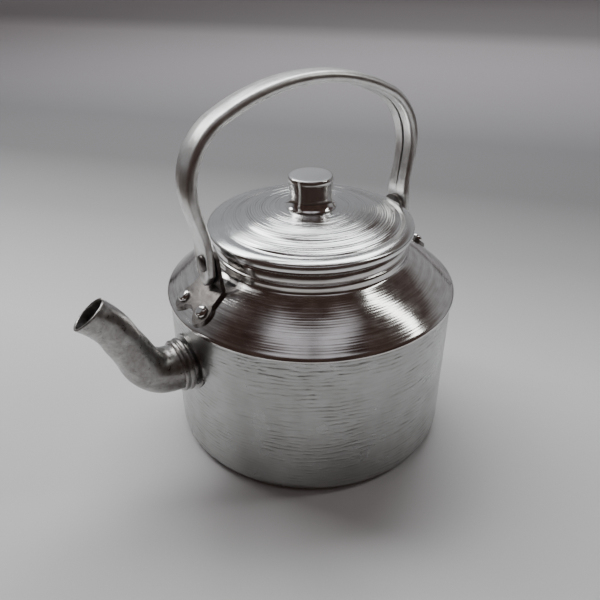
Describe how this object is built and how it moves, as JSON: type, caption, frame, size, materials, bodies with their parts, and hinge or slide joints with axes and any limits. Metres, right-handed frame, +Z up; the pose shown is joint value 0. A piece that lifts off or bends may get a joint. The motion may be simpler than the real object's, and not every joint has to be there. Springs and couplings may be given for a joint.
{
  "type": "stovetop tea kettle",
  "caption": "Round spun aluminium stovetop kettle with swan-neck spout, swinging riveted bail handle and lift-off domed lid with a turned knob.",
  "frame": {"origin": "middle of the flat bottom, on the surface the kettle stands on", "axes": "+Z up along the pot's axis; the spout points along -X and the handle's hinge line runs along X; the handle rests 3.5 degrees off the XZ plane, toward +Y; Y is the direction it swings"},
  "size_m": [0.2158, 0.1628, 0.204],
  "materials": {
    "wall": "satin, fine turning marks",
    "shoulder": "polished, turned",
    "spout": "dull, tumbled",
    "collar": "polished",
    "ear": "dull sheet",
    "rivet": "polished heads",
    "handle": "brushed",
    "lid": "fine turned rings",
    "knob": "mirror turned",
    "hidden_steel": "plain zinc grey"
  },
  "bodies": {
    "kettle": {"pot_body": "wall", "shoulder": "shoulder", "spout_socket": "spout", "spout_collar": "collar", "spout_tube": "spout", "front_ear": "ear", "rear_ear": "ear", "front_ear_rivet_near": "rivet", "front_ear_rivet_far": "rivet", "rear_ear_rivet_near": "rivet", "rear_ear_rivet_far": "rivet", "front_pivot_rivet": "rivet", "rear_pivot_rivet": "rivet"},
    "handle": {"handle_bail": "handle"},
    "lid": {"lid_shell": "lid", "lid_knob": "knob", "knob_washer": "hidden_steel", "knob_screw": "hidden_steel"}
  },
  "joints": [
    {"name": "handle_swing", "type": "hinge", "parent": "kettle", "child": "handle", "pos_m": [0, 0, 0.1195], "axis": [1, 0, 0], "range_deg": [-96.5, 103.5]},
    {"name": "lid_lift", "type": "slide", "parent": "kettle", "child": "lid", "axis": [0, 0, 1], "range_m": [0, 0.036]}
  ]
}
